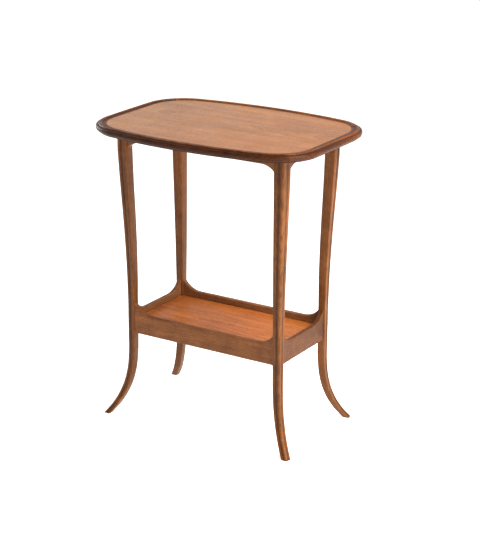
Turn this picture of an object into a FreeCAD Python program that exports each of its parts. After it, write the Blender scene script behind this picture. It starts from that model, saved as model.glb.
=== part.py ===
import FreeCAD, Part
import math
import os
import re
import Sketcher
from FreeCAD import Placement, Rotation, Vector

# Sizes of the tea table in millimetres. X runs along the long side, the front is -Y, +Z is up,
# and the origin lies on the floor below the middle of the top.
SIZES = {
    # Height and outline of the whole
    "table_height": 750,
    "top_length": 600,
    "top_depth": 434,
    "top_long_radius": 1120,
    "top_short_radius": 5100,
    "top_corner_radius": 112,
    # Moulded edge of the top: a cove, a step and a rounded nose under a raised bead
    "top_edge_height": 21,
    "veneer_thickness": 1,
    "lipping_width": 26,
    "cove_height": 5.5,
    "cove_step": 1.4,
    "nose_height": 11,
    "nose_bulge": 2.2,
    "bead_setback": 4.5,
    "bead_width": 9,
    "bead_rise": 3,
    # How far the top overhangs the legs' centre lines, and these lean in and flare out below
    "end_overhang": 80,
    "side_overhang": 99,
    "leg_lean": 10,
    "foot_flare_length": 50.5,
    "foot_flare_depth": 43.5,
    # Sides of a leg's section, and how far its blocks run past the rails
    "leg_side_top": 29,
    "leg_side_shelf": 20,
    "leg_side_foot": 17,
    "leg_block_margin": 6,
    # Frieze rails under the top
    "frieze_depth": 23,
    "frieze_thickness": 18,
    "frieze_setback": 4.5,
    "frieze_sweep_drop": 17,
    "frieze_sweep_reach": 36,
    "frieze_chamfer": 2,
    "frieze_tenon_length": 9,
    "frieze_tenon_thickness": 8,
    "frieze_tenon_shoulder": 5,
    # Corner blocks and the screws through them
    "corner_block_leg": 38,
    "corner_block_height": 16,
    "screw_inset": 8,
    "screw_length": 25,
    "screw_radius": 2,
    "screw_head_radius": 4,
    "screw_head_height": 2.6,
    # Shelf: a grooved frame of rails, which stand above the board as a gallery
    "shelf_rim_level": 266,
    "shelf_rail_depth": 51,
    "shelf_rail_thickness": 12,
    "shelf_setback": 3.5,
    "shelf_recess": 17,
    "shelf_sweep_rise": 26,
    "shelf_sweep_reach": 48,
    "shelf_chamfer": 2.5,
    "shelf_tenon_length": 6,
    "shelf_tenon_thickness": 6,
    "shelf_tenon_shoulder": 5,
    "shelf_board_thickness": 11,
    "shelf_groove_depth": 4,
    # Clearance of each glued or screwed fit, and how far a cut runs past the wood
    "fit_gap": 0.2,
    "overrun": 2,
}

# Levels that several pieces share, as formulas of the sizes
TOP_BASE = "(table_height - top_edge_height)"
FIELD_LEVEL = "(table_height - bead_rise)"
FRIEZE_STRAIGHT = f"({TOP_BASE} - frieze_depth)"
FRIEZE_LOW = f"({FRIEZE_STRAIGHT} - frieze_sweep_drop)"
SHELF_BASE = "(shelf_rim_level - shelf_rail_depth)"
SHELF_HIGH = "(shelf_rim_level + shelf_sweep_rise)"
SHELF_FLOOR = "(shelf_rim_level - shelf_recess)"
BOARD_BASE = f"({SHELF_FLOOR} - veneer_thickness - shelf_board_thickness)"
BLOCK_BASE = f"({TOP_BASE} - corner_block_height)"

# Places in plan: the legs, their inner faces and the rails' outer faces
LEG_X = "(top_length / 2 - end_overhang)"
LEG_Y = "(top_depth / 2 - side_overhang)"
FRIEZE_HALF_X = f"({LEG_X} - leg_side_top / 2)"
FRIEZE_HALF_Y = f"({LEG_Y} - leg_side_top / 2)"
FRIEZE_FACE_X = f"({LEG_X} + leg_side_top / 2 - frieze_setback)"
FRIEZE_FACE_Y = f"({LEG_Y} + leg_side_top / 2 - frieze_setback)"
SHELF_HALF_X = f"({LEG_X} - leg_lean - leg_side_shelf / 2)"
SHELF_HALF_Y = f"({LEG_Y} - leg_lean - leg_side_shelf / 2)"
SHELF_FACE_X = f"({LEG_X} - leg_lean + leg_side_shelf / 2 - shelf_setback)"
SHELF_FACE_Y = f"({LEG_Y} - leg_lean + leg_side_shelf / 2 - shelf_setback)"
SCREW_X = f"({FRIEZE_HALF_X} - screw_inset)"
SCREW_Y = f"({FRIEZE_HALF_Y} - screw_inset)"

# How a leg sweeps between its straight blocks: shares of the way down and of the sideways shift
UPPER_WAY_SHARES = (0, 0.2, 0.4, 0.6, 0.8, 1)
UPPER_SWEEP_SHARES = (0, 0.24, 0.54, 0.79, 0.95, 1)
SABRE_WAY_SHARES = (0, 0.22, 0.42, 0.6, 0.76, 0.89, 1)
SABRE_SWEEP_SHARES = (0, 0.008, 0.065, 0.2, 0.42, 0.69, 1)

# Curved outlines with flat facets, as shares of their radius, or of their width and their rise
QUARTER_SHARES = ((1, 0), (0.92, 0.38), (0.71, 0.71), (0.38, 0.92), (0, 1))
NOSE_SHARES = ((0, 0), (0.25, 0.8), (0.5, 1), (0.75, 0.8), (1, 0))
RIM_SHARES = ((0, 0), (0.3, 1), (0.7, 1), (1, 0))

# A leg's section as shares of its side: a bead at the outer corner, a flute beside it on each
# outer face, plain inner faces and small chamfers
EDGE_SHARE = 0.5
CHAMFERED_SHARE = 0.43
BEAD_SHARE = 0.3
FLUTE_SHARES = ((-0.13, 0.5), (-0.05, 0.455), (0.13, 0.455))

QUARTER_TURN = 90
MITRE_DEGREES = 45
NEAR = 0.001
ACROSS = Vector(1, 0, 0)
IN_DEPTH = Vector(0, 1, 0)
UPWARD = Vector(0, 0, 1)

# The table's corners, with the signs that carry a place in the back right quarter to each
TABLE_CORNERS = (
    ("back_right", "", ""),
    ("back_left", "-", ""),
    ("front_right", "", "-"),
    ("front_left", "-", "-"),
)

# Numbers by which a sketch knows its origin point, its axes and the points of an edge
ORIGIN_POINT = (-1, 1)
ACROSS_AXIS, UP_AXIS = range(-1, -3, -1)
START, END, CENTRE = range(1, 4)

doc = FreeCAD.newDocument("tea_table")
sheet = doc.addObject("Spreadsheet::Sheet", "sizes")
for row, (alias, value) in enumerate(SIZES.items(), 1):
    sheet.set(f"A{row}", str(value))
    sheet.setAlias(f"A{row}", alias)
doc.recompute()

nodes = []


def linked(formula):
    """The formula with every size's name turned into a reference to its cell."""
    return re.sub(r"[a-z_]+", lambda word: f"sizes.{word[0]}" if word[0] in SIZES else word[0], formula)


def measure(formula):
    """The formula's present value."""
    return float(sheet.evalExpression(formula))


def bind(thing, **formulas):
    """Ties properties of an object to formulas."""
    for path, formula in formulas.items():
        thing.setExpression(path, linked(formula))


def place(thing, x, y, z):
    """Ties an object's position to formulas."""
    for letter, formula in zip("xyz", (x, y, z)):
        thing.setExpression(f"Placement.Base.{letter}", linked(formula))


def new_body(label):
    """An empty body, kept as a sub-part under its label."""
    body = doc.addObject("PartDesign::Body", label)
    nodes.append(body)
    return body


def mirrored(source, label, normal):
    """The same piece on the other side of the table, kept as a sub-part."""
    twin = doc.addObject("Part::Mirroring", label)
    twin.Source = source
    twin.Normal = normal
    nodes.append(twin)
    return twin


def origin_plane(body, role):
    return next(plane for plane in body.Origin.OriginFeatures if plane.Role == role)


def new_sketch(body, name, role, across="0", up="0", out="0"):
    """A sketch on one of the body's origin planes, shifted in the plane's own directions."""
    sketch = body.newObject("Sketcher::SketchObject", name)
    sketch.AttachmentSupport = [(origin_plane(body, role), "")]
    sketch.MapMode = "FlatFace"
    for letter, formula in zip("xyz", (across, up, out)):
        sketch.setExpression(f"AttachmentOffset.Base.{letter}", linked(formula))
    return sketch


def constrain(sketch, kind, *parts, formula=None):
    """Adds one constraint, with its value tied to a formula where it has one."""
    if formula is None:
        sketch.addConstraint(Sketcher.Constraint(kind, *parts))
        return
    number = sketch.addConstraint(Sketcher.Constraint(kind, *parts, measure(formula)))
    sketch.setExpression(f"Constraints[{number}]", linked(formula))


def pin(sketch, edge, point, across, up):
    """Holds a point of an edge at a place measured from the sketch's origin."""
    for kind, formula, axis in (("DistanceX", across, UP_AXIS), ("DistanceY", up, ACROSS_AXIS)):
        if formula == "0":
            constrain(sketch, "PointOnObject", edge, point, axis)
        else:
            constrain(sketch, kind, *ORIGIN_POINT, edge, point, formula=formula)


def outline(sketch, corners, hollows=None):
    """Draws a closed outline anticlockwise through its corners. The edges listed in hollows, by
    the number of their first corner, are arcs of the given radius that curve inwards."""
    hollows = hollows or {}
    points = [Vector(measure(across), measure(up), 0) for across, up in corners]
    ends = []
    for number, start in enumerate(points):
        stop = points[(number + 1) % len(points)]
        if number not in hollows:
            sketch.addGeometry(Part.LineSegment(start, stop), False)
            ends.append((START, END))
            continue
        radius = measure(hollows[number])
        chord = stop - start
        rise = radius - math.sqrt(radius**2 - (chord.Length / 2) ** 2)
        middle = (start + stop) / 2 + Vector(-chord.y, chord.x, 0).normalize() * rise
        sketch.addGeometry(Part.Arc(stop, middle, start), False)
        ends.append((END, START))
    for number, (across, up) in enumerate(corners):
        following = (number + 1) % len(corners)
        constrain(sketch, "Coincident", number, ends[number][1], following, ends[following][0])
        pin(sketch, number, ends[number][0], across, up)
    for number, radius in hollows.items():
        constrain(sketch, "Radius", number, formula=radius)
    return sketch


def pad(body, name, sketch, length):
    feature = body.newObject("PartDesign::Pad", name)
    feature.Profile = sketch
    bind(feature, Length=length)


def box(body, name, kind, low, extent):
    """A box added to a body or cut from it, by its low corner and its extent."""
    feature = body.newObject(f"PartDesign::{kind}Box", name)
    bind(feature, Length=extent[0], Width=extent[1], Height=extent[2])
    place(feature, *low)


def section_corners(side):
    """Corners of a leg's section with the given side, anticlockwise from the inner corner."""
    centre = EDGE_SHARE - BEAD_SHARE
    shares = [(-CHAMFERED_SHARE, -EDGE_SHARE), (CHAMFERED_SHARE, -EDGE_SHARE)]
    shares += [(EDGE_SHARE, -CHAMFERED_SHARE)]
    shares += [(out, along) for along, out in FLUTE_SHARES]
    shares += [(centre + BEAD_SHARE * x, centre + BEAD_SHARE * y) for x, y in QUARTER_SHARES]
    shares += reversed(FLUTE_SHARES)
    shares += [(-CHAMFERED_SHARE, EDGE_SHARE), (-EDGE_SHARE, CHAMFERED_SHARE)]
    shares += [(-EDGE_SHARE, -CHAMFERED_SHARE)]
    return [(f"{x:.4f} * ({side})", f"{y:.4f} * ({side})") for x, y in shares]


def leg_section(body, name, shift_x, shift_y, level, side):
    """One horizontal section of a leg, in the leg's own frame."""
    return outline(new_sketch(body, name, "XY_Plane", shift_x, shift_y, level), section_corners(side))


def leg_sweep(body, name, levels, starts, moves, sides, way_shares, sweep_shares):
    """A curved stretch of a leg, as a smooth loft through sections from its upper level down."""
    sections = []
    for number, (way, sweep) in enumerate(zip(way_shares, sweep_shares)):
        level = f"{levels[0]} - ({levels[0]} - {levels[1]}) * {way}"
        side = f"{sides[0]} + ({sides[1]} - {sides[0]}) * {way}"
        shift_x, shift_y = (f"{start} + {move} * {sweep}" for start, move in zip(starts, moves))
        sections.append(leg_section(body, f"{name}_section_{number}", shift_x, shift_y, level, side))
    loft = body.newObject("PartDesign::AdditiveLoft", name)
    loft.Profile = sections[0]
    loft.Sections = sections[1:]


def mortises(body, tier, base, height, shift_x, shift_y, side):
    """Two mortises in a leg at one tier, for the tenons of the long and the short rail."""
    thickness = RAIL_THICKNESS[tier]
    slot = f"({side} / 2 - {tier}_setback - ({thickness} + {tier}_tenon_thickness) / 2 - fit_gap)"
    outside = f"({side} / 2 + overrun)"
    deep = f"{tier}_tenon_length + fit_gap + overrun"
    wide = f"{tier}_tenon_thickness + 2 * fit_gap"
    low = f"{base} - fit_gap"
    tall = f"{height} + 2 * fit_gap"
    long_low = (f"{shift_x} - {outside}", f"{shift_y} + {slot}", low)
    short_low = (f"{shift_x} + {slot}", f"{shift_y} - {outside}", low)
    box(body, f"{tier}_mortise_long", "Subtractive", long_low, (deep, wide, tall))
    box(body, f"{tier}_mortise_short", "Subtractive", short_low, (wide, deep, tall))


RAIL_THICKNESS = {"frieze": "frieze_thickness", "shelf": "shelf_rail_thickness"}
FRIEZE_TENON = (
    f"({FRIEZE_LOW} + frieze_tenon_shoulder)",
    "(frieze_depth + frieze_sweep_drop - 2 * frieze_tenon_shoulder)",
)
SHELF_TENON = (f"({SHELF_BASE} + shelf_tenon_shoulder)", "(shelf_rail_depth - 2 * shelf_tenon_shoulder)")


def build_legs():
    """Four legs: a joint block under the top, a slight sweep in to a block at the shelf, and a
    sabre curve out to the floor. Three are mirrored from the back right one."""
    leg = new_body("leg_back_right")
    place(leg, LEG_X, LEG_Y, "0")
    block_low = f"({FRIEZE_LOW} - leg_block_margin)"
    shelf_block_high = f"({SHELF_HIGH} + leg_block_margin)"
    shelf_block_low = f"({SHELF_BASE} - leg_block_margin)"
    inward = ("-leg_lean", "-leg_lean")
    block = leg_section(leg, "top_block_section", "0", "0", block_low, "leg_side_top")
    pad(leg, "top_block", block, f"{TOP_BASE} - {block_low}")
    levels = (block_low, shelf_block_high)
    sides = ("leg_side_top", "leg_side_shelf")
    leg_sweep(leg, "upper_sweep", levels, ("0", "0"), inward, sides, UPPER_WAY_SHARES, UPPER_SWEEP_SHARES)
    block = leg_section(leg, "shelf_block_section", *inward, shelf_block_low, "leg_side_shelf")
    pad(leg, "shelf_block", block, f"{shelf_block_high} - {shelf_block_low}")
    levels = (shelf_block_low, "0")
    sides = ("leg_side_shelf", "leg_side_foot")
    flare = ("foot_flare_length", "foot_flare_depth")
    leg_sweep(leg, "sabre_sweep", levels, inward, flare, sides, SABRE_WAY_SHARES, SABRE_SWEEP_SHARES)
    mortises(leg, "frieze", *FRIEZE_TENON, "0", "0", "leg_side_top")
    mortises(leg, "shelf", *SHELF_TENON, *inward, "leg_side_shelf")
    front = mirrored(leg, "leg_front_right", IN_DEPTH)
    mirrored(leg, "leg_back_left", ACROSS)
    mirrored(front, "leg_front_left", ACROSS)


def rail(label, tier, turned, half, face, corners, sweep_radius, tenon, plain_level):
    """One rail with swept ends, drawn as a back rail: its face as a pad, the arrises of its swept
    edge eased, and a tenon at each end. A turned rail is swung round to the right of the table."""
    thickness = RAIL_THICKNESS[tier]
    tenon_base, tenon_height = tenon
    body = new_body(label)
    if turned:
        body.Placement = Placement(Vector(), Rotation(UPWARD, -QUARTER_TURN))
    sketch = new_sketch(body, "face", "XZ_Plane", out=f"-{face}")
    pad(body, "web", outline(sketch, corners, {2: sweep_radius, 4: sweep_radius}), thickness)
    doc.recompute()
    web = body.Tip
    plain = measure(plain_level)
    swept = []
    for number, edge in enumerate(web.Shape.Edges, 1):
        extent = edge.BoundBox
        if extent.YLength < NEAR < extent.XLength and abs(extent.ZMin - plain) > NEAR:
            swept.append(f"Edge{number}")
    eased = body.newObject("PartDesign::Chamfer", "eased_arrises")
    eased.Base = (web, swept)
    bind(eased, Size=f"{tier}_chamfer")
    start = f"{face} - {thickness} / 2 - {tier}_tenon_thickness / 2"
    extent = (f"{tier}_tenon_length", f"{tier}_tenon_thickness", tenon_height)
    box(body, "left_tenon", "Additive", (f"-{half} - {tier}_tenon_length", start, tenon_base), extent)
    box(body, "right_tenon", "Additive", (half, start, tenon_base), extent)
    return body


def build_frieze():
    """Four frieze rails whose lower edges sweep down into the legs."""
    radius = "(frieze_sweep_reach ^ 2 + frieze_sweep_drop ^ 2) / (2 * frieze_sweep_drop)"
    for label, twin, turned, half, face, normal in (
        ("frieze_rail_back", "frieze_rail_front", False, FRIEZE_HALF_X, FRIEZE_FACE_Y, IN_DEPTH),
        ("frieze_rail_right", "frieze_rail_left", True, FRIEZE_HALF_Y, FRIEZE_FACE_X, ACROSS),
    ):
        corners = [
            (half, TOP_BASE),
            (f"-{half}", TOP_BASE),
            (f"-{half}", FRIEZE_LOW),
            (f"-{half} + frieze_sweep_reach", FRIEZE_STRAIGHT),
            (f"{half} - frieze_sweep_reach", FRIEZE_STRAIGHT),
            (half, FRIEZE_LOW),
        ]
        body = rail(label, "frieze", turned, half, face, corners, radius, FRIEZE_TENON, TOP_BASE)
        mirrored(body, twin, normal)


def build_shelf_rails():
    """Four shelf rails that sweep up into the legs and hold the board in a stopped groove."""
    radius = "(shelf_sweep_reach ^ 2 + shelf_sweep_rise ^ 2) / (2 * shelf_sweep_rise)"
    for label, twin, turned, half, face, normal in (
        ("shelf_rail_back", "shelf_rail_front", False, SHELF_HALF_X, SHELF_FACE_Y, IN_DEPTH),
        ("shelf_rail_right", "shelf_rail_left", True, SHELF_HALF_Y, SHELF_FACE_X, ACROSS),
    ):
        corners = [
            (f"-{half}", SHELF_BASE),
            (half, SHELF_BASE),
            (half, SHELF_HIGH),
            (f"{half} - shelf_sweep_reach", "shelf_rim_level"),
            (f"-{half} + shelf_sweep_reach", "shelf_rim_level"),
            (f"-{half}", SHELF_HIGH),
        ]
        body = rail(label, "shelf", turned, half, face, corners, radius, SHELF_TENON, SHELF_BASE)
        low = (f"-{half}", f"{face} - shelf_rail_thickness - overrun", BOARD_BASE)
        extent = (f"2 * {half}", "shelf_groove_depth + overrun", f"{SHELF_FLOOR} - {BOARD_BASE} + fit_gap")
        box(body, "board_groove", "Subtractive", low, extent)
        mirrored(body, twin, normal)


def build_shelf_board():
    """The shelf's board and its veneer, notched round the legs and let into the rails' grooves."""
    edge_x = f"({SHELF_FACE_X} - shelf_rail_thickness + shelf_groove_depth - fit_gap)"
    edge_y = f"({SHELF_FACE_Y} - shelf_rail_thickness + shelf_groove_depth - fit_gap)"
    notch_x = f"({SHELF_HALF_X} - fit_gap)"
    notch_y = f"({SHELF_HALF_Y} - fit_gap)"
    quarter = [(edge_x, notch_y), (notch_x, notch_y), (notch_x, edge_y)]
    corners = quarter + [(f"-{x}", y) for x, y in reversed(quarter)]
    corners += [(f"-{x}", f"-{y}") for x, y in quarter] + [(x, f"-{y}") for x, y in reversed(quarter)]
    for label, level, thickness in (
        ("shelf_board", BOARD_BASE, "shelf_board_thickness"),
        ("shelf_veneer", f"{SHELF_FLOOR} - veneer_thickness", "veneer_thickness"),
    ):
        body = new_body(label)
        pad(body, "slab", outline(new_sketch(body, "plan", "XY_Plane", out=level), corners), thickness)


def corner_centre(reach, radius, other_reach, other_radius):
    """Centres of the arcs of a quarter of the top's outline: the round corner, which meets both
    bowed sides smoothly, the side that faces along +Y and the side that faces along +X."""
    side = Vector(0, reach - radius, 0)
    other = Vector(other_reach - other_radius, 0, 0)
    corner_radius = measure("top_corner_radius")
    near = radius - corner_radius
    far = other_radius - corner_radius
    line = side - other
    along = (far**2 - near**2 + line.Length**2) / (2 * line.Length)
    aside = math.sqrt(far**2 - along**2)
    line.normalize()
    return other + line * along + Vector(-line.y, line.x, 0) * aside, side, other


def arc_about(centre, start, stop):
    """The anticlockwise arc about a centre between two points that lie on it."""
    radius = (start - centre).Length
    middle = centre + (start + stop - centre * 2).normalize() * radius
    return Part.Arc(start, middle, stop)


def top_outline(body, name, level, inset):
    """The top's outline of eight tangent arcs, drawn inwards by an inset."""
    sketch = new_sketch(body, name, "XY_Plane", out=level)
    depth, length = measure("top_depth / 2"), measure("top_length / 2")
    long_radius, short_radius = measure("top_long_radius"), measure("top_short_radius")
    corner, long_side, short_side = corner_centre(depth, long_radius, length, short_radius)
    above = long_side + (corner - long_side).normalize() * (long_radius - measure(inset))
    ahead = short_side + (corner - short_side).normalize() * (short_radius - measure(inset))

    def flipped(point, flip):
        return Vector(point.x * flip[0], point.y * flip[1], 0)

    flips = ((1, 1), (-1, 1), (-1, -1), (1, -1))
    for number, flip in enumerate(flips):
        following = flips[(number + 1) % len(flips)]
        ends = (ahead, above) if number % 2 == 0 else (above, ahead)
        bow = long_side if number % 2 == 0 else short_side
        first, last = (flipped(end, flip) for end in ends)
        sketch.addGeometry(arc_about(flipped(corner, flip), first, last), False)
        sketch.addGeometry(arc_about(flipped(bow, flip), last, flipped(ends[1], following)), False)
    radii = ("top_corner_radius", "top_long_radius", "top_corner_radius", "top_short_radius") * 2
    for edge, radius in enumerate(radii):
        constrain(sketch, "Tangent", edge, END, (edge + 1) % len(radii), START)
        constrain(sketch, "Radius", edge, formula=f"{radius} - ({inset})")
    beyond = "(top_long_radius - top_depth / 2)"
    beside = "(top_short_radius - top_length / 2)"
    centres = (("0", f"-{beyond}"), (beside, "0"), ("0", beyond), (f"-{beside}", "0"))
    for turn, (across, up) in enumerate(centres):
        pin(sketch, 2 * turn + 1, CENTRE, across, up)
    return sketch


def lipping_path(body, reach, radius, other_reach, other_radius):
    """The outline from the middle of one side to the mitre in the middle of the round corner. The
    rest of the quarter is drawn as construction lines, which place the corner."""
    sketch = new_sketch(body, "path", "XY_Plane", out=TOP_BASE)
    sizes = [measure(formula) for formula in (reach, radius, other_reach, other_radius)]
    corner, side, other = corner_centre(*sizes)
    above = side + (corner - side).normalize() * sizes[1]
    ahead = other + (corner - other).normalize() * sizes[3]
    slant = math.radians(MITRE_DEGREES)
    mitre = corner + Vector(math.cos(slant), math.sin(slant), 0) * measure("top_corner_radius")
    sketch.addGeometry(arc_about(side, above, Vector(0, sizes[0], 0)), False)
    sketch.addGeometry(arc_about(corner, mitre, above), False)
    sketch.addGeometry(arc_about(corner, ahead, mitre), True)
    sketch.addGeometry(arc_about(other, Vector(sizes[2], 0, 0), ahead), True)
    sketch.addGeometry(Part.LineSegment(corner, mitre), True)
    bow, bend, other_bend, other_bow, cut = range(5)
    constrain(sketch, "Tangent", bend, END, bow, START)
    constrain(sketch, "Coincident", other_bend, END, bend, START)
    constrain(sketch, "Coincident", other_bend, CENTRE, bend, CENTRE)
    constrain(sketch, "Tangent", other_bow, END, other_bend, START)
    constrain(sketch, "Coincident", cut, START, bend, CENTRE)
    constrain(sketch, "Coincident", cut, END, bend, START)
    constrain(sketch, "Angle", cut, slant)
    pin(sketch, bow, END, "0", reach)
    constrain(sketch, "PointOnObject", bow, CENTRE, UP_AXIS)
    pin(sketch, other_bow, START, other_reach, "0")
    constrain(sketch, "PointOnObject", other_bow, CENTRE, ACROSS_AXIS)
    constrain(sketch, "Radius", bow, formula=radius)
    constrain(sketch, "Radius", bend, formula="top_corner_radius")
    constrain(sketch, "Radius", other_bow, formula=other_radius)
    return sketch


def lipping(label, turned, reach, radius, other_reach, other_radius):
    """One moulded edge piece of the top, drawn as the back one: its moulding swept from the middle
    of the side to the mitre, and mirrored. A turned piece is swung round to the right."""
    body = new_body(label)
    if turned:
        body.Placement = Placement(Vector(), Rotation(UPWARD, -QUARTER_TURN))
    nose = f"({reach} - nose_bulge)"
    cove = f"({nose} - cove_step)"
    bead = f"({nose} - bead_setback)"
    field = "(top_edge_height - bead_rise)"
    inside = f"({reach} - lipping_width)"
    corners = [(inside, "0")]
    for x, y in QUARTER_SHARES[::2]:
        corners.append((f"{cove} - cove_height * {x}", f"cove_height * {y}"))
    for way, rise in NOSE_SHARES:
        corners.append((f"{nose} + nose_bulge * {rise}", f"cove_height + nose_height * {way}"))
    for way, rise in RIM_SHARES:
        corners.append((f"{bead} - bead_width * {way}", f"{field} + bead_rise * {rise}"))
    corners.append((inside, field))
    half = body.newObject("PartDesign::AdditivePipe", "half_moulding")
    half.Profile = outline(new_sketch(body, "moulding", "YZ_Plane", up=TOP_BASE), corners)
    half.Spine = (lipping_path(body, reach, radius, other_reach, other_radius), [])
    whole = body.newObject("PartDesign::Mirrored", "whole_moulding")
    whole.Originals = [half]
    whole.MirrorPlane = (origin_plane(body, "YZ_Plane"), [""])
    body.Tip = whole
    return body


def build_top():
    """The top: a core with pilot holes for the screws, its veneered field and four lippings."""
    inset = "lipping_width + fit_gap"
    core = new_body("top_core")
    slab = top_outline(core, "plan", TOP_BASE, inset)
    pad(core, "slab", slab, f"{FIELD_LEVEL} - veneer_thickness - {TOP_BASE}")
    for corner, side_x, side_y in TABLE_CORNERS:
        hole = core.newObject("PartDesign::SubtractiveCylinder", f"pilot_hole_{corner}")
        bind(hole, Radius="screw_radius + fit_gap")
        bind(hole, Height=f"{BLOCK_BASE} + screw_length + fit_gap - {TOP_BASE} + overrun")
        place(hole, side_x + SCREW_X, side_y + SCREW_Y, f"{TOP_BASE} - overrun")
    veneer = new_body("top_veneer")
    sheet_plan = top_outline(veneer, "plan", f"{FIELD_LEVEL} - veneer_thickness", inset)
    pad(veneer, "sheet", sheet_plan, "veneer_thickness")
    long_side = ("top_depth / 2", "top_long_radius")
    short_side = ("top_length / 2", "top_short_radius")
    mirrored(lipping("top_lipping_back", False, *long_side, *short_side), "top_lipping_front", IN_DEPTH)
    mirrored(lipping("top_lipping_right", True, *short_side, *long_side), "top_lipping_left", ACROSS)


def build_corner_blocks():
    """Four glued blocks in the frieze's corners, each with a hole for a top screw."""
    block = new_body("corner_block_back_right")
    near_x = f"({FRIEZE_HALF_X} - fit_gap)"
    near_y = f"({FRIEZE_HALF_Y} - fit_gap)"
    rail_x = f"({FRIEZE_FACE_X} - frieze_thickness)"
    rail_y = f"({FRIEZE_FACE_Y} - frieze_thickness)"
    corners = [
        (near_x, near_y),
        (near_x, rail_y),
        (f"{near_x} - corner_block_leg", rail_y),
        (rail_x, f"{near_y} - corner_block_leg"),
        (rail_x, near_y),
    ]
    plan = outline(new_sketch(block, "plan", "XY_Plane", out=BLOCK_BASE), corners)
    pad(block, "slab", plan, "corner_block_height")
    through = block.newObject("PartDesign::SubtractiveCylinder", "screw_hole")
    bind(through, Radius="screw_radius + fit_gap", Height="corner_block_height + 2 * overrun")
    place(through, SCREW_X, SCREW_Y, f"{BLOCK_BASE} - overrun")
    front = mirrored(block, "corner_block_front_right", IN_DEPTH)
    mirrored(block, "corner_block_back_left", ACROSS)
    mirrored(front, "corner_block_front_left", ACROSS)


def build_screws():
    """Four screws up through the corner blocks into the top, grouped as one sub-part."""
    corners = [
        ("0", "-screw_head_height"),
        ("screw_head_radius", "-screw_head_height"),
        ("screw_head_radius", "0"),
        ("screw_radius", "0"),
        ("screw_radius", "screw_length"),
        ("0", "screw_length"),
    ]
    screws = []
    for corner, side_x, side_y in TABLE_CORNERS:
        screw = doc.addObject("PartDesign::Body", f"screw_{corner}")
        place(screw, side_x + SCREW_X, side_y + SCREW_Y, BLOCK_BASE)
        turned = screw.newObject("PartDesign::Revolution", f"turned_{corner}")
        turned.Profile = outline(new_sketch(screw, f"half_{corner}", "XZ_Plane"), corners)
        turned.ReferenceAxis = (turned.Profile[0], ["V_Axis"])
        turned.Angle = 4 * QUARTER_TURN
        screws.append(screw)
    group = doc.addObject("Part::Compound", "top_screws")
    group.Links = screws
    nodes.append(group)


build_legs()
build_frieze()
build_shelf_rails()
build_shelf_board()
build_top()
build_corner_blocks()
build_screws()
doc.recompute()

for thing in doc.Objects:
    if "Invalid" in thing.State or "Error" in thing.State:
        raise RuntimeError(f"{thing.Label} did not build: {thing.State}")
for node in nodes:
    if node.Shape.isNull() or not node.Shape.isValid():
        raise RuntimeError(f"{node.Label} has no valid shape")

os.makedirs("parts", exist_ok=True)
for node in nodes:
    node.Shape.exportStep(f"parts/{node.Label}.step")
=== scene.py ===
import math
from collections import namedtuple

import bmesh
import bpy
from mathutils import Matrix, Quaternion, Vector


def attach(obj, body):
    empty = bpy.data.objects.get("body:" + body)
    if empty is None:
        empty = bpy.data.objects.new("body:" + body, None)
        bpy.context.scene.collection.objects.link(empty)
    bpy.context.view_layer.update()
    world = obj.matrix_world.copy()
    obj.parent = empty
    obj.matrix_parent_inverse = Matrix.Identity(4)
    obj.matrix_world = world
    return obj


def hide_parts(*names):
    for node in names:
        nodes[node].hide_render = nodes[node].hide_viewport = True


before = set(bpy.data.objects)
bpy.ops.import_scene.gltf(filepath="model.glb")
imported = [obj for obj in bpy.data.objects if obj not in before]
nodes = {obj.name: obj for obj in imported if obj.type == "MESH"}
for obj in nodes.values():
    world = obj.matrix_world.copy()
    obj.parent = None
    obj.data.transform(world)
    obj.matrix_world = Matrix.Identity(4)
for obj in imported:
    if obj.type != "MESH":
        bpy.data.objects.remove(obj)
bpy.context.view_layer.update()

scene = bpy.context.scene
MM = 0.001

# Camera, fitted to the photograph's frame
IMAGE_HEIGHT_PX = 533
FOCAL_LENGTH_PX = 1662
AZIMUTH = math.radians(32.4)
ELEVATION = math.radians(18.9)
ROLL = math.radians(0.18)
CAMERA_DISTANCE = 4.07
AIM = Vector((0, 0, 0.375))
SHIFT_RIGHT, SHIFT_UP = 0.0229, 0.013

camera = bpy.data.objects.new("camera", bpy.data.cameras.new("camera"))
scene.collection.objects.link(camera)
scene.camera = camera
camera.data.sensor_fit = "VERTICAL"
camera.data.lens = camera.data.sensor_height * FOCAL_LENGTH_PX / IMAGE_HEIGHT_PX
camera.data.shift_x = SHIFT_RIGHT
camera.data.shift_y = SHIFT_UP
level = math.cos(ELEVATION)
backwards = Vector((math.sin(AZIMUTH) * level, -math.cos(AZIMUTH) * level, math.sin(ELEVATION)))
camera.location = AIM + backwards * CAMERA_DISTANCE
camera.rotation_euler = (backwards.to_track_quat("Z", "Y") @ Quaternion((0, 0, 1), ROLL)).to_euler()

# Sizes of the table in millimetres, as in the solids
TOP_BASE = 729
TOP_REACH_X, TOP_REACH_Y = 300, 217
LONG_RADIUS, SHORT_RADIUS, CORNER_RADIUS = 1120, 5100, 112
LIPPING_WIDTH, FIELD_HEIGHT = 26, 18
COVE_HEIGHT, COVE_STEP = 5.5, 1.4
NOSE_HEIGHT, NOSE_BULGE = 11, 2.2
BEAD_SETBACK, BEAD_WIDTH, BEAD_RISE = 4.5, 9, 3
LEG_X, LEG_Y = 220, 118
LEG_LEAN = 10
FLARE_X, FLARE_Y = 50.5, 43.5
WIDTH_TOP, WIDTH_SHELF, WIDTH_FOOT = 29, 20, 17
UPPER_HIGH, UPPER_LOW, SABRE_HIGH = 683, 298, 209
FRIEZE_SETBACK, SHELF_SETBACK = 4.5, 3.5
FRIEZE_BASE, SHELF_BASE, SHELF_RIM = 706, 215, 266


# Node materials

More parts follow.
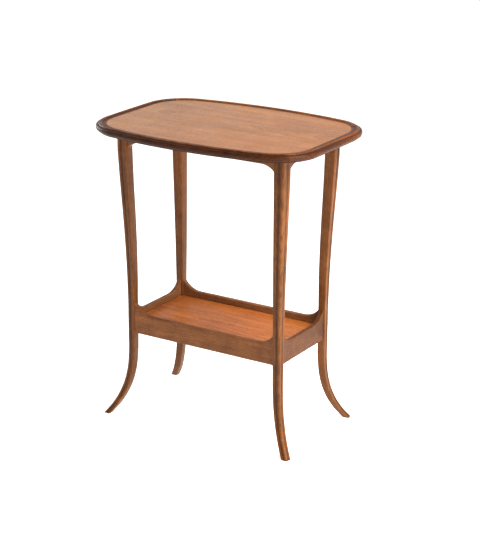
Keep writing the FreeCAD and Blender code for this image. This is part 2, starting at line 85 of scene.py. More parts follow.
def add(tree, kind, inputs=None, **settings):
    """Adds a shader node, sets its properties and fills or links its inputs."""
    node = tree.nodes.new(kind)
    for name, value in settings.items():
        setattr(node, name, value)
    for name, value in (inputs or {}).items():
        if isinstance(value, bpy.types.NodeSocket):
            tree.links.new(value, node.inputs[name])
        else:
            node.inputs[name].default_value = value
    return node


def math_node(tree, operation, first, second, clamp=False):
    """The result of a Math node."""
    inputs = {0: first, 1: second}
    return add(tree, "ShaderNodeMath", inputs, operation=operation, use_clamp=clamp).outputs[0]


def vector_node(tree, operation, inputs):
    """The vector that a Vector Math node gives."""
    return add(tree, "ShaderNodeVectorMath", inputs, operation=operation).outputs[0]


def ranged(tree, value, low, high, new_low=0.0, new_high=1.0):
    """A value mapped from one range to another and held inside it."""
    inputs = {"Value": value, "From Min": low, "From Max": high, "To Min": new_low, "To Max": new_high}
    return add(tree, "ShaderNodeMapRange", inputs).outputs[0]


def blended(tree, share, first, second, blend_type="MIX"):
    """Two colours mixed by a share."""
    inputs = {0: share, 6: first, 7: second}
    return add(tree, "ShaderNodeMix", inputs, data_type="RGBA", blend_type=blend_type).outputs[2]


def scaled(tree, vector, scale):
    """A place stretched or squeezed along each axis."""
    return add(tree, "ShaderNodeMapping", {"Vector": vector, "Scale": scale}).outputs[0]


def noise(tree, vector, scale, detail, roughness=0.55, colour=False):
    """A noise texture, as one value or as a colour of three."""
    inputs = {"Vector": vector, "Scale": scale, "Detail": detail, "Roughness": roughness}
    return add(tree, "ShaderNodeTexNoise", inputs).outputs["Color" if colour else "Fac"]


def colour_ramp(tree, value, stops):
    """A colour ramp through (place, colour) stops."""
    ramp = add(tree, "ShaderNodeValToRGB", {0: value})
    elements = ramp.color_ramp.elements
    while len(elements) < len(stops):
        elements.new(0.5)
    for element, (place, colour) in zip(elements, stops):
        element.position = place
        element.color = (*colour, 1)
    return ramp.outputs[0]


def shaded(colour, share):
    """A share of a constant colour, with its alpha."""
    return (*(share * part for part in colour), 1)


def new_material(name):
    """A material, its node tree and its shader."""
    material = bpy.data.materials.new(name)
    material.use_nodes = True
    tree = material.node_tree
    return material, tree, tree.nodes["Principled BSDF"]


def dress(tree, shader, base, rough, relief, strength, depth):
    """Links a colour, a roughness and a bump to a shader."""
    inputs = {"Strength": strength, "Distance": depth, "Height": relief}
    bump = add(tree, "ShaderNodeBump", inputs).outputs[0]
    for name, socket in (("Base Color", base), ("Roughness", rough), ("Normal", bump)):
        tree.links.new(socket, shader.inputs[name])


def set_constants(shader, values):
    """Sets inputs that are the same all over the surface."""
    for name, value in values.items():
        shader.inputs[name].default_value = value


Polish = namedtuple("Polish", "roughness gloss coat")
PLAIN_POLISH = Polish(roughness=0.34, gloss=0.13, coat=0.03)
MOULDING_POLISH = Polish(roughness=0.3, gloss=0.1, coat=0.03)
TOP_POLISH = Polish(roughness=0.3, gloss=0.35, coat=0.12)
SHELF_POLISH = Polish(roughness=0.34, gloss=0.2, coat=0.04)
COAT_ROUGHNESS = 0.12

# Wander of the grain: the noise's stretch along it and scale, and the distance in metres
GRAIN_WARPS = ((0.3, 5.0, 0.03), (0.15, 30.0, 0.004))
WARP_DETAIL = 2.0
# Means of the layers' sum and of the rings, and how far from them the dark and light tones lie
LAYERS_MEAN, RINGS_MEAN = 0.53, 0.67
DARK_BELOW, LIGHT_ABOVE = 0.17, 0.15
# How far from the middle a painted fade of light and shade ends, in metres
PAINTED_FADE_REACH = 0.22
# Shares of the pores, the rubbed arrises, the grime and painted shade, and the fibres in colour,
# roughness and relief
PORE_COVER, PORE_TONE, PORE_ROUGHNESS = 0.6, 0.3, 0.18
RUBBED_COVER, RUBBED_ROUGHNESS = 0.4, 0.12
RUBBED_TINT, TINT_SHARE = (0.58, 0.27, 0.09), 0.4
GRIME_AND_SHADE_TONE = 0.2
FIBRE_RELIEF = 0.4


def wood(
    name, tones, grain, pith, ring_scale=80.0, ring_share=0.13, tilt=0.03, figure=0.2,
    polish=PLAIN_POLISH, painted_light_fade=(),
):
    """Polished wood: growth rings, dark streaks, fibres, pores, a ripple across the grain, pale rubbed
    arrises and hollows darkened as grime and painted shade. grain is the axis along the fibres and pith
    the rings' centre across it. polish is the mean roughness, gloss and coat. The fade has (place,
    tint) stops from one end of the board to the other, which paint light and shade along it."""
    material, tree, shader = new_material(name)
    light, middle, dark = tones
    axis = "XYZ".index(grain)

    def along(share):
        """A scale that differs from 1 along the grain only."""
        return tuple(share if number == axis else 1 for number in range(3))

    def layer(stretch, scale, detail, roughness=0.55):
        """Noise that runs along the warped grain."""
        return noise(tree, scaled(tree, warped, along(stretch)), scale, detail, roughness)

    # Place on the board, turned to the pith and warped
    place = add(tree, "ShaderNodeTexCoord").outputs["Object"]
    across = iter(pith)
    pith_place = tuple(0 if number == axis else -next(across) for number in range(3))
    turn = tuple(0 if number == axis else tilt for number in range(3))
    board_inputs = {"Vector": place, "Location": pith_place, "Rotation": turn}
    board = add(tree, "ShaderNodeMapping", board_inputs).outputs[0]
    warped = board
    for stretch, scale, distance in GRAIN_WARPS:
        drift = noise(tree, scaled(tree, board, along(stretch)), scale, WARP_DETAIL, colour=True)
        drift = vector_node(tree, "SUBTRACT", {0: drift, 1: (0.5, 0.5, 0.5)})
        drift = vector_node(tree, "SCALE", {0: drift, "Scale": distance})
        warped = vector_node(tree, "ADD", {0: warped, 1: drift})

    # Figure
    ring_inputs = {
        "Vector": warped, "Scale": ring_scale, "Distortion": 1.2, "Detail": 2.0, "Detail Scale": 1.5,
    }
    rings = add(
        tree, "ShaderNodeTexWave", ring_inputs,
        wave_type="RINGS", rings_direction=grain, wave_profile="SAW",
    )
    early = math_node(tree, "SUBTRACT", 1.0, math_node(tree, "POWER", rings.outputs["Fac"], 2.0))
    bands = layer(stretch=0.08, scale=34.0, detail=3.0)
    streaks = layer(stretch=0.03, scale=150.0, detail=4.0, roughness=0.6)
    fibres = layer(stretch=0.015, scale=700.0, detail=3.0, roughness=0.6)
    pores = ranged(tree, layer(stretch=0.06, scale=1500.0, detail=1.0), 0.57, 0.67)
    ripple = layer(stretch=2.5, scale=18.0, detail=2.0)
    clouds = layer(stretch=0.5, scale=9.0, detail=2.0)

    # Colour
    tone = math_node(tree, "MULTIPLY", early, ring_share)
    for part, share in ((bands, 0.3), (streaks, 0.34), (fibres, 0.3), (ripple, 0.12)):
        tone = math_node(tree, "ADD", tone, math_node(tree, "MULTIPLY", part, share))
    mean = LAYERS_MEAN + RINGS_MEAN * ring_share
    stops = ((mean - DARK_BELOW, dark), (mean, middle), (mean + LIGHT_ABOVE, light))
    base = colour_ramp(tree, tone, stops)
    glow = ranged(tree, clouds, 0.3, 0.7, 1 - figure, 1 + figure)
    glow = add(tree, "ShaderNodeCombineColor", {0: glow, 1: glow, 2: glow}).outputs[0]
    base = blended(tree, 1.0, base, glow, "MULTIPLY")
    # Painted light and shade along the board: tints that fade from one end to the other
    if painted_light_fade:
        reach = add(tree, "ShaderNodeSeparateXYZ", {0: warped}).outputs[grain]
        painted_fade_tint = colour_ramp(tree, ranged(tree, reach, -PAINTED_FADE_REACH, PAINTED_FADE_REACH), painted_light_fade)
        base = blended(tree, 1.0, base, painted_fade_tint, "MULTIPLY")
    base = blended(tree, math_node(tree, "MULTIPLY", pores, PORE_COVER), base, shaded(dark, PORE_TONE))

    # Wear and painted shade, from the number at each point of a fine piece: pale rubbed arrises above
    # zero, grime and painted shade below zero
    wear_and_shade_mask = add(tree, "ShaderNodeAttribute", attribute_name="wear_and_shade").outputs["Fac"]
    patches = noise(tree, place, 38.0, 4.0, 0.65)
    rubbed = math_node(tree, "MULTIPLY", wear_and_shade_mask, ranged(tree, patches, 0.4, 0.66), clamp=True)
    # Grime and painted shade: darker where the number is below zero
    grime_and_shade = math_node(tree, "MULTIPLY", wear_and_shade_mask, ranged(tree, patches, 0.3, 0.7, -0.75, -0.4), clamp=True)
    pale = tuple((1 - TINT_SHARE) * part + TINT_SHARE * tint for part, tint in zip(light, RUBBED_TINT))
    base = blended(tree, math_node(tree, "MULTIPLY", rubbed, RUBBED_COVER), base, shaded(pale, 1))
    base = blended(tree, grime_and_shade, base, shaded(dark, GRIME_AND_SHADE_TONE))

    # Polish and relief
    smears = noise(tree, place, 16.0, 4.0, 0.6)
    rough = ranged(tree, smears, 0.3, 0.7, polish.roughness - 0.06, polish.roughness + 0.08)
    rough = math_node(tree, "ADD", rough, math_node(tree, "MULTIPLY", pores, PORE_ROUGHNESS))
    dulled = math_node(tree, "MULTIPLY", rubbed, RUBBED_ROUGHNESS)
    rough = math_node(tree, "ADD", rough, dulled, clamp=True)
    relief = math_node(tree, "SUBTRACT", math_node(tree, "MULTIPLY", fibres, FIBRE_RELIEF), pores)
    dress(tree, shader, base, rough, relief, strength=0.14, depth=0.0004)
    set_constants(shader, {
        "Specular IOR Level": polish.gloss,
        "Coat Weight": polish.coat,
        "Coat Roughness": COAT_ROUGHNESS,
    })
    return material


def softwood(name, light, dark, pith):
    """Plain planed softwood of the hidden pieces: wide pale bands and fine dark late rings."""
    material, tree, shader = new_material(name)
    place = add(tree, "ShaderNodeTexCoord").outputs["Object"]
    board_inputs = {"Vector": place, "Location": (0, *pith), "Rotation": (0, 0.02, 0.03)}
    board = add(tree, "ShaderNodeMapping", board_inputs).outputs[0]
    drift = noise(tree, scaled(tree, board, (0.2, 1, 1)), 6.0, 2.0, colour=True)
    drift = vector_node(tree, "SCALE", {0: drift, "Scale": 0.03})
    warped = vector_node(tree, "ADD", {0: board, 1: drift})
    ring_inputs = {"Vector": warped, "Scale": 45.0, "Distortion": 0.8, "Detail": 2.0}
    rings = add(tree, "ShaderNodeTexWave", ring_inputs, wave_type="RINGS", rings_direction="X")
    late = ranged(tree, rings.outputs["Fac"], 0.55, 0.95)
    fibres = noise(tree, scaled(tree, warped, (0.02, 1, 1)), 420.0, 3.0)
    tone = math_node(tree, "MULTIPLY", late, 0.55)
    tone = math_node(tree, "ADD", tone, math_node(tree, "MULTIPLY", fibres, 0.45))
    base = colour_ramp(tree, tone, ((0.12, light), (0.8, dark)))
    rough = ranged(tree, fibres, 0.3, 0.7, 0.6, 0.78)
    dress(tree, shader, base, rough, tone, strength=0.2, depth=0.0003)
    return material


def steel(name, light, dark, rust):
    """Dulled steel with fine turning marks and brown spots."""
    material, tree, shader = new_material(name)
    place = add(tree, "ShaderNodeTexCoord").outputs["Object"]
    marks = noise(tree, scaled(tree, place, (1, 1, 12)), 320.0, 3.0)
    spots = ranged(tree, noise(tree, place, 260.0, 4.0), 0.56, 0.68)
    base = colour_ramp(tree, marks, ((0.3, dark), (0.7, light)))
    base = blended(tree, spots, base, shaded(rust, 1))
    rough = ranged(tree, marks, 0.3, 0.7, 0.34, 0.56)
    dress(tree, shader, base, rough, marks, strength=0.15, depth=0.0001)
    set_constants(shader, {"Metallic": 0.9})
    return material


# Light, middle and dark tone of each wood, and painted light and shade along the veneers
LEG_TONES = ((0.206, 0.072, 0.018), (0.128, 0.042, 0.010), (0.067, 0.021, 0.006))
LONG_RAIL_TONES = ((0.25, 0.090, 0.029), (0.158, 0.055, 0.017), (0.084, 0.027, 0.009))
# Painted shade: the end rails are darkened against the key light that falls on the right end
SHADED_SHORT_RAIL_TONES = ((0.105, 0.033, 0.008), (0.065, 0.019, 0.004), (0.037, 0.010, 0.002))
# Painted light: lighter tones for the back and left shelf rails, whose inner faces lie in shade
PAINTED_LIGHT_RAIL_TONES = ((0.28, 0.122, 0.054), (0.185, 0.077, 0.031), (0.10, 0.038, 0.014))
# Painted shade: the front moulding is darkened, as it lies in shade
SHADED_FRONT_EDGE_TONES = ((0.12, 0.036, 0.010), (0.062, 0.018, 0.005), (0.028, 0.008, 0.003))
END_EDGE_TONES = ((0.15, 0.044, 0.011), (0.077, 0.022, 0.005), (0.035, 0.010, 0.003))
TOP_TONES = ((0.43, 0.200, 0.072), (0.32, 0.139, 0.050), (0.215, 0.086, 0.031))
# Painted sheen: the top stays paler at its left end and turns darker and more orange towards the right
TOP_PAINTED_SHEEN_FADE = ((0, (1, 1, 1)), (1, (0.85, 0.71, 0.48)))
# The shelf veneer is lighter than the top's as painted light in the top's shade; its fade paints light
# on the shelf's left part
SHELF_TONES_WITH_PAINTED_LIGHT = ((0.64, 0.215, 0.056), (0.50, 0.156, 0.037), (0.28, 0.080, 0.021))
SHELF_PAINTED_LIGHT_FADE = ((0, (1, 1, 1)), (0.5, (0.77, 0.74, 0.67)), (1, (0.73, 0.70, 0.55)))
VENEER_FIGURE = {"ring_share": 0.15, "tilt": 0.05, "figure": 0.14}

leg_wood = wood("leg_wood", LEG_TONES, "Z", (0.03, 0.19))
long_rail_wood = wood("long_rail_wood", LONG_RAIL_TONES, "X", (0.02, 0.42))
shaded_short_rail_wood = wood("shaded_short_rail_wood", SHADED_SHORT_RAIL_TONES, "Y", (0.05, 0.45))
painted_light_long_wood = wood("painted_light_long_wood", PAINTED_LIGHT_RAIL_TONES, "X", (0.03, 0.44))
painted_light_short_wood = wood("painted_light_short_wood", PAINTED_LIGHT_RAIL_TONES, "Y", (0.06, 0.43))
# Painted shade on the front moulding; the back moulding takes the lighter long rail tones as painted
# light
shaded_front_moulding_wood = wood(
    "shaded_front_moulding_wood", SHADED_FRONT_EDGE_TONES, "X", (0.04, 0.65), polish=MOULDING_POLISH,
)
painted_light_back_moulding_wood = wood(
    "painted_light_back_moulding_wood", LONG_RAIL_TONES, "X", (0.05, 0.62), polish=MOULDING_POLISH,
)
short_moulding_wood = wood(
    "short_moulding_wood", END_EDGE_TONES, "Y", (0.07, 0.66), polish=MOULDING_POLISH,
)
top_veneer = wood(
    "top_veneer", TOP_TONES, "X", (0.03, 0.66), ring_scale=40.0, polish=TOP_POLISH,
    painted_light_fade=TOP_PAINTED_SHEEN_FADE, **VENEER_FIGURE,
)
shelf_veneer = wood(
    "shelf_veneer", SHELF_TONES_WITH_PAINTED_LIGHT, "X", (-0.02, 0.18), ring_scale=46.0, polish=SHELF_POLISH,
    painted_light_fade=SHELF_PAINTED_LIGHT_FADE, **VENEER_FIGURE,
)
core_wood = softwood("core_wood", (0.42, 0.25, 0.12), (0.2, 0.09, 0.035), (0.21, 0.1))
block_wood = softwood("block_wood", (0.52, 0.36, 0.2), (0.3, 0.16, 0.07), (0.27, 0.1))
screw_steel = steel("screw_steel", (0.42, 0.41, 0.39), (0.2, 0.19, 0.18), (0.13, 0.06, 0.03))

CORNERS = ("back_left", "back_right", "front_left", "front_right")
cad_materials = {
    "top_veneer": top_veneer,
    "shelf_veneer": shelf_veneer,
    "top_core": core_wood,
    "shelf_board": core_wood,
    "top_screws": screw_steel,
}
cad_materials.update((f"corner_block_{corner}", block_wood) for corner in CORNERS)
for name, material in cad_materials.items():
    nodes[name].data.materials.clear()
    nodes[name].data.materials.append(material)

# Each side of the table: its sign, whether it is an end, and the woods of its pieces
Side = namedtuple("Side", "sign end frieze_wood shelf_wood lipping_wood")
# Lit and shaded copies: painted shade on the end rails and the front moulding, painted light on the
# back and left shelf rails and the back moulding
SIDES = {
    "back": Side(1, False, long_rail_wood, painted_light_long_wood, painted_light_back_moulding_wood),
    "front": Side(-1, False, long_rail_wood, long_rail_wood, shaded_front_moulding_wood),
    "right": Side(1, True, shaded_short_rail_wood, shaded_short_rail_wood, short_moulding_wood),
    "left": Side(-1, True, shaded_short_rail_wood, painted_light_short_wood, short_moulding_wood),
}


# Pieces swept through rings of points

SHARP_ANGLE = math.radians(32)


def swept_piece(node, rings, wear_and_shade, material, signs=(1, 1)):
    """A closed mesh through rings of points in millimetres that stands for a CAD node. The wear and
    shade numbers, one for each point of a ring, are above zero on rubbed arrises and below zero where
    grime and painted shade darken the wood."""
    mesh = bpy.data.meshes.new(f"fine_{node}")
    shape = bmesh.new()
    rows = [
        [shape.verts.new((x * signs[0] * MM, y * signs[1] * MM, z * MM)) for x, y, z in ring]
        for ring in rings
    ]
    count = len(wear_and_shade)
    for row, following in zip(rows, rows[1:]):
        for number in range(count):
            nearby = (number + 1) % count
            shape.faces.new((row[number], row[nearby], following[nearby], following[number]))
    shape.faces.new(rows[0])
    shape.faces.new(rows[-1])
    bmesh.ops.recalc_face_normals(shape, faces=shape.faces)
    shape.to_mesh(mesh)
    shape.free()
    values = mesh.attributes.new("wear_and_shade", "FLOAT", "POINT")
    values.data.foreach_set("value", wear_and_shade * len(rows))
    mesh.shade_smooth()
    mesh.set_sharp_from_angle(angle=SHARP_ANGLE)
    mesh.materials.append(material)
    piece = bpy.data.objects.new(f"fine_{node}", mesh)
    scene.collection.objects.link(piece)
    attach(piece, "root")
    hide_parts(node)


def oval_arc(centre, half_width, half_height, start, stop, count):
    """Points on a part of an oval, between two angles in degrees."""
    angles = [math.radians(start + (stop - start) * number / (count - 1)) for number in range(count)]
    return [
        (centre[0] + half_width * math.cos(angle), centre[1] + half_height * math.sin(angle))
        for angle in angles
    ]


def arc(centre, radius, start, stop, count):
    """Points on a part of a circle, between two angles in degrees."""
    return oval_arc(centre, radius, radius, start, stop, count)


def eased(ways, values, way):
    """A smooth curve through a table of values, read at a way along it."""
    last = len(ways) - 1
    number = min(max(sum(way >= limit for limit in ways) - 1, 0), last - 1)

    def slope(place):
        low, high = max(place - 1, 0), min(place + 1, last)
        return (values[high] - values[low]) / (ways[high] - ways[low])

    span = ways[number + 1] - ways[number]
    part = (way - ways[number]) / span
    start, stop = values[number], values[number + 1]
    rise = stop - start
    first, second = slope(number) * span, slope(number + 1) * span
    curve = 3 * rise - 2 * first - second + part * (first + second - 2 * rise)
    return start + part * (first + part * curve)


# Legs

# How a leg sweeps between its blocks: shares of the way down and of the sideways shift
UPPER_WAY_SHARES = (0, 0.2, 0.4, 0.6, 0.8, 1)
UPPER_SWEEP_SHARES = (0, 0.24, 0.54, 0.79, 0.95, 1)
SABRE_WAY_SHARES = (0, 0.22, 0.42, 0.6, 0.76, 0.89, 1)
SABRE_SWEEP_SHARES = (0, 0.008, 0.065, 0.2, 0.42, 0.69, 1)
SWEEP_STEPS = 40
BLOCK_RING_ABOVE = 2

# A leg's section as shares of its width: a bead at the outer corner, a flute beside it on each
# outer face, and small eased arrises at the other corners
ARRIS_PLACE, ARRIS_SHARE = 0.43, 0.07
FLUTE_SHARES = (
    (-0.16, 0.5), (-0.125, 0.489), (-0.09, 0.468), (-0.05, 0.456), (0.0, 0.452), (0.05, 0.458),
)
LEG_BEAD_PLACE, LEG_BEAD_SHARE = 0.2, 0.3
LEG_BEAD_START, LEG_BEAD_STOP = -21, 111
# Wear and painted shade around the section: rubbed arrises above zero, grime and painted shade in the
# flutes below zero
ARRIS_WEAR = [0.3, 0.7, 0.9, 0.7, 0.3]
FLUTE_WEAR_AND_SHADE = [0.2, -0.3, -0.7, -0.9, -0.9, -1.0]
LEG_BEAD_WEAR_AND_SHADE = [-0.7, -0.2, 0.1, 0.3, 0.5, 0.6, 0.7, 0.6, 0.5, 0.3, 0.1, -0.2, -0.7]
LEG_WEAR_AND_SHADE = ARRIS_WEAR * 2 + FLUTE_WEAR_AND_SHADE + LEG_BEAD_WEAR_AND_SHADE + FLUTE_WEAR_AND_SHADE[::-1] + ARRIS_WEAR


def leg_arris(x, y, start):
    """The eased arris at a corner of a leg's section."""
    return arc((x, y), ARRIS_SHARE, start, start + 90, len(ARRIS_WEAR))


leg_section = leg_arris(-ARRIS_PLACE, -ARRIS_PLACE, 180) + leg_arris(ARRIS_PLACE, -ARRIS_PLACE, 270)
leg_section += [(out, along) for along, out in FLUTE_SHARES]
leg_section += arc(
    (LEG_BEAD_PLACE, LEG_BEAD_PLACE), LEG_BEAD_SHARE, LEG_BEAD_START, LEG_BEAD_STOP, len(LEG_BEAD_WEAR_AND_SHADE)
)
leg_section += [(along, out) for along, out in reversed(FLUTE_SHARES)]
leg_section += leg_arris(-ARRIS_PLACE, ARRIS_PLACE, 90)


def leg_ring(level, width, shift_x, shift_y):
    """A leg's section at a level, with its width and its shift from the leg's place."""
    return [(LEG_X + shift_x + width * x, LEG_Y + shift_y + width * y, level) for x, y in leg_section]


leg_rings = [leg_ring(level, WIDTH_TOP, 0, 0) for level in (TOP_BASE, UPPER_HIGH + BLOCK_RING_ABOVE)]
for number in range(SWEEP_STEPS + 1):
    way = number / SWEEP_STEPS
    inward = -LEG_LEAN * eased(UPPER_WAY_SHARES, UPPER_SWEEP_SHARES, way)
    width = WIDTH_TOP + (WIDTH_SHELF - WIDTH_TOP) * way
    leg_rings.append(leg_ring(UPPER_HIGH + (UPPER_LOW - UPPER_HIGH) * way, width, inward, inward))
for number in range(SWEEP_STEPS + 1):
    way = number / SWEEP_STEPS
    outward = eased(SABRE_WAY_SHARES, SABRE_SWEEP_SHARES, way)
    width = WIDTH_SHELF + (WIDTH_FOOT - WIDTH_SHELF) * way
    shift_x, shift_y = FLARE_X * outward - LEG_LEAN, FLARE_Y * outward - LEG_LEAN
    leg_rings.append(leg_ring(SABRE_HIGH * (1 - way), width, shift_x, shift_y))

for corner in CORNERS:
    depth, hand = corner.split("_")
    signs = (SIDES[hand].sign, SIDES[depth].sign)
    swept_piece(f"leg_{corner}", leg_rings, LEG_WEAR_AND_SHADE, leg_wood, signs)


# Rails, whose rings stand across their length

RailForm = namedtuple("RailForm", "thickness plain edge reach rise easing")
FRIEZE_FORM = RailForm(thickness=18, plain=TOP_BASE, edge=FRIEZE_BASE, reach=36, rise=17, easing=2)
SHELF_FORM = RailForm(thickness=12, plain=SHELF_BASE, edge=SHELF_RIM, reach=48, rise=26, easing=2.5)
PLAIN_EASING = 0.4
SWEPT_END_STEPS = 14
EASED_WEAR = [0.2, 0.6, 0.9, 0.6, 0.2]
RAIL_WEAR = EASED_WEAR * 2 + [0.4] * 4


def stations(half, reach):
    """Places along a rail: close together in its swept ends."""
    turns = [math.pi / 2 * number / SWEPT_END_STEPS for number in range(SWEPT_END_STEPS + 1)]
    ends = [half - reach * (1 - math.cos(turn)) for turn in turns]
    return [-x for x in ends] + ends[::-1]


def sweep_rise(along, half, reach, rise):
    """How far the swept edge of a rail has left its straight part."""
    radius = (reach * reach + rise * rise) / (2 * rise)
    past = max(abs(along) - (half - reach), 0)
    return radius - math.sqrt(radius * radius - past * past)


def rail_piece(node, side, half, face, form, material):
    """A rail between two legs, with half its length and its outer face's distance from the middle. Its
    swept edge is eased, its plain edge is nearly sharp."""
    direction = 1 if form.edge > form.plain else -1
    back = face - form.thickness
    sharp = form.plain + direction * PLAIN_EASING
    turn = arc((0, 0), form.easing, 0, 90, len(EASED_WEAR))
    rings = []
    for along in stations(half, form.reach):
        inner = form.edge + direction * sweep_rise(along, half, form.reach, form.rise)
        inner -= direction * form.easing
        section = [(face - form.easing + x, inner + direction * y) for x, y in turn]
        section += [(back + form.easing - x, inner + direction * y) for x, y in reversed(turn)]
        section += [(back, sharp), (back + PLAIN_EASING, form.plain)]
        section += [(face - PLAIN_EASING, form.plain), (face, sharp)]
        if side.end:
            rings.append([(side.sign * across, along, height) for across, height in section])
        else:
            rings.append([(along, side.sign * across, height) for across, height in section])
    swept_piece(node, rings, RAIL_WEAR, material)


for label, side in SIDES.items():
    along, across = (LEG_Y, LEG_X) if side.end else (LEG_X, LEG_Y)
    half, face = along - WIDTH_TOP / 2, across + WIDTH_TOP / 2 - FRIEZE_SETBACK
    rail_piece(f"frieze_rail_{label}", side, half, face, FRIEZE_FORM, side.frieze_wood)
    half, face = along - LEG_LEAN - WIDTH_SHELF / 2, across - LEG_LEAN + WIDTH_SHELF / 2 - SHELF_SETBACK
    rail_piece(f"shelf_rail_{label}", side, half, face, SHELF_FORM, side.shelf_wood)


# Moulded lippings of the top: a cove, a rounded nose and a raised bead

BOW_STEPS, BEND_STEPS = 24, 16
MITRE = math.radians(45)
MITRE_GAP = 0.1
INNER_EASING = 0.2
# Wear and painted shade around the section: grime and painted shade in the cove and at the bead's
# edges, painted shade on the whole nose
COVE_WEAR_AND_SHADE = [0.3] + [-0.6] * 8 + [-0.9, -0.9]
NOSE_PAINTED_SHADE = [-0.9, -0.8, -0.7, -0.6, -0.5, -0.4, -0.3, -0.3, -0.4, -0.5, -0.6, -0.8, -0.9]
BEAD_WEAR_AND_SHADE = [-0.9, -0.3, 0.2, 0.5, 0.7, 0.8, 0.8, 0.8, 0.7, 0.5, 0.2, -0.3, -0.9]
LIPPING_WEAR_AND_SHADE = [0.0] + COVE_WEAR_AND_SHADE + NOSE_PAINTED_SHADE + BEAD_WEAR_AND_SHADE + [0.1, 0.1]

# Insets from the top's outline and heights above its base
lipping_section = [(LIPPING_WIDTH, 0)]
lipping_section += arc((NOSE_BULGE + COVE_STEP, 0), COVE_HEIGHT, 0, 90, len(COVE_WEAR_AND_SHADE))
nose_centre = (NOSE_BULGE, COVE_HEIGHT + NOSE_HEIGHT / 2)
lipping_section += oval_arc(nose_centre, NOSE_BULGE, NOSE_HEIGHT / 2, 270, 90, len(NOSE_PAINTED_SHADE))
bead_centre = (NOSE_BULGE + BEAD_SETBACK + BEAD_WIDTH / 2, FIELD_HEIGHT)
lipping_section += oval_arc(bead_centre, BEAD_WIDTH / 2, BEAD_RISE, 180, 0, len(BEAD_WEAR_AND_SHADE))
lipping_section += [(LIPPING_WIDTH - INNER_EASING, FIELD_HEIGHT)]
lipping_section += [(LIPPING_WIDTH, FIELD_HEIGHT - INNER_EASING)]

LONG_CENTRE = Vector((0, TOP_REACH_Y - LONG_RADIUS))
SHORT_CENTRE = Vector((TOP_REACH_X - SHORT_RADIUS, 0))


def round_corner():
    """Centre of the top's round corner, which meets both bowed sides smoothly."""
    near, far = LONG_RADIUS - CORNER_RADIUS, SHORT_RADIUS - CORNER_RADIUS
    line = LONG_CENTRE - SHORT_CENTRE
    along = (far * far - near * near + line.length_squared) / (2 * line.length)
    aside = math.sqrt(far * far - along * along)
    line.normalize()
    return SHORT_CENTRE + line * along + Vector((-line.y, line.x)) * aside


CORNER_CENTRE = round_corner()


def lipping_stations(centre, radius, middle):
    """Centre, radius and angle of each ring from the middle of a side to the mitre."""
    direction = CORNER_CENTRE - centre
    meeting = math.atan2(direction.y, direction.x)
    mitre = MITRE + math.copysign(MITRE_GAP / CORNER_RADIUS, middle - MITRE)
    bow = [
        (centre, radius, middle + (meeting - middle) * number / BOW_STEPS)
        for number in range(BOW_STEPS)
    ]
    bend = [
        (CORNER_CENTRE, CORNER_RADIUS, meeting + (mitre - meeting) * number / BEND_STEPS)
        for number in range(BEND_STEPS + 1)
    ]
    return bow + bend


def lipping_ring(centre, radius, angle):
    """The moulding's section at one station of the top's outline."""
    across, up = math.cos(angle), math.sin(angle)
    ring = []
    for inset, height in lipping_section:
        reach = radius - inset
        ring.append((centre.x + reach * across, centre.y + reach * up, TOP_BASE + height))
    return ring


def lipping_rings(centre, radius, middle, mirror):
    """The rings of a whole lipping, its second half mirrored in front of the first."""
    half = [lipping_ring(*station) for station in lipping_stations(centre, radius, middle)]
    return [[(x * mirror[0], y * mirror[1], z) for x, y, z in ring] for ring in half[:0:-1]] + half


long_rings = lipping_rings(LONG_CENTRE, LONG_RADIUS, math.pi / 2, (-1, 1))
short_rings = lipping_rings(SHORT_CENTRE, SHORT_RADIUS, 0.0, (1, -1))
for label, side in SIDES.items():
    rings, signs = (short_rings, (side.sign, 1)) if side.end else (long_rings, (1, side.sign))
    swept_piece(f"top_lipping_{label}", rings, LIPPING_WEAR_AND_SHADE, side.lipping_wood, signs)


# Studio: a pale floor, a warm key light and a small low light on the right, a cool light on the left,
# and a surround that is brighter at the horizon and behind the table

FLOOR_REACH = 30
FLOOR_GREYS = ((0.3, (0.86, 0.86, 0.855)), (0.7, (0.88, 0.88, 0.88)))
WARM, WARMER, COOL = (1, 0.92, 0.8), (1, 0.9, 0.76), (0.94, 0.97, 1)
BEHIND = (-0.2, 0.9, 0.3)

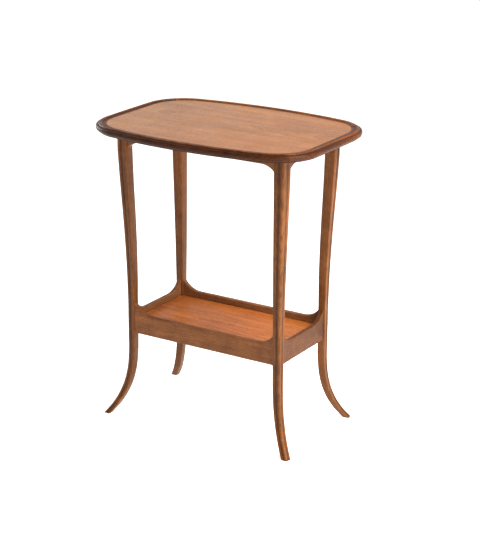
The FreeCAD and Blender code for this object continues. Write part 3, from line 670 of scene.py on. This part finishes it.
floor_material, floor_tree, floor_shader = new_material("studio_floor")
floor_place = add(floor_tree, "ShaderNodeTexCoord").outputs["Object"]
floor_colour = colour_ramp(floor_tree, noise(floor_tree, floor_place, 1.5, 2.0), FLOOR_GREYS)
floor_tree.links.new(floor_colour, floor_shader.inputs["Base Color"])
set_constants(floor_shader, {
    "Roughness": 0.9,
    "Specular IOR Level": 0.1,
    "Emission Color": (1, 1, 1, 1),
    "Emission Strength": 0.64,
})
floor_mesh = bpy.data.meshes.new("studio_floor")
floor_corners = [(x * FLOOR_REACH, y * FLOOR_REACH, 0) for x, y in ((-1, -1), (1, -1), (1, 1), (-1, 1))]
floor_mesh.from_pydata(floor_corners, [], [(0, 1, 2, 3)])
floor_mesh.materials.append(floor_material)
floor = bpy.data.objects.new("studio_floor", floor_mesh)
scene.collection.objects.link(floor)


def area_light(name, place, aim, size, power, colour):
    """A round area light that shines from a place towards an aim."""
    lamp = bpy.data.lights.new(name, "AREA")
    lamp.shape = "DISK"
    lamp.size = size
    lamp.energy = power
    lamp.color = colour
    light = bpy.data.objects.new(name, lamp)
    light.location = place
    light.rotation_euler = (Vector(place) - Vector(aim)).to_track_quat("Z", "Y").to_euler()
    scene.collection.objects.link(light)


area_light("key", (1.75, -0.15, 2.4), aim=(0, 0, 0.45), size=1.7, power=132, colour=WARM)
area_light("low", (1.5, -0.2, 0.7), aim=(0, 0, 0.4), size=0.8, power=14, colour=WARMER)
area_light("left", (-2.6, 0.3, 1.35), aim=(0, 0, 0.4), size=1.9, power=45, colour=COOL)

world = bpy.data.worlds.new("surround")
scene.world = world
world.use_nodes = True
surround = world.node_tree
background = surround.nodes["Background"]
background.inputs["Color"].default_value = (*COOL, 1)
direction = add(surround, "ShaderNodeTexCoord").outputs["Generated"]
behind_inputs = {0: direction, 1: BEHIND}
behind = add(surround, "ShaderNodeVectorMath", behind_inputs, operation="DOT_PRODUCT").outputs["Value"]
height = add(surround, "ShaderNodeSeparateXYZ", {0: direction}).outputs["Z"]
horizon = ranged(surround, height, 0.1, 0.28, 0.95, 0.0)
graded = ranged(surround, behind, -0.5, 0.5, 0.08, 0.6)
surround.links.new(math_node(surround, "MAXIMUM", horizon, graded), background.inputs["Strength"])
scene.view_settings.view_transform = "Standard"
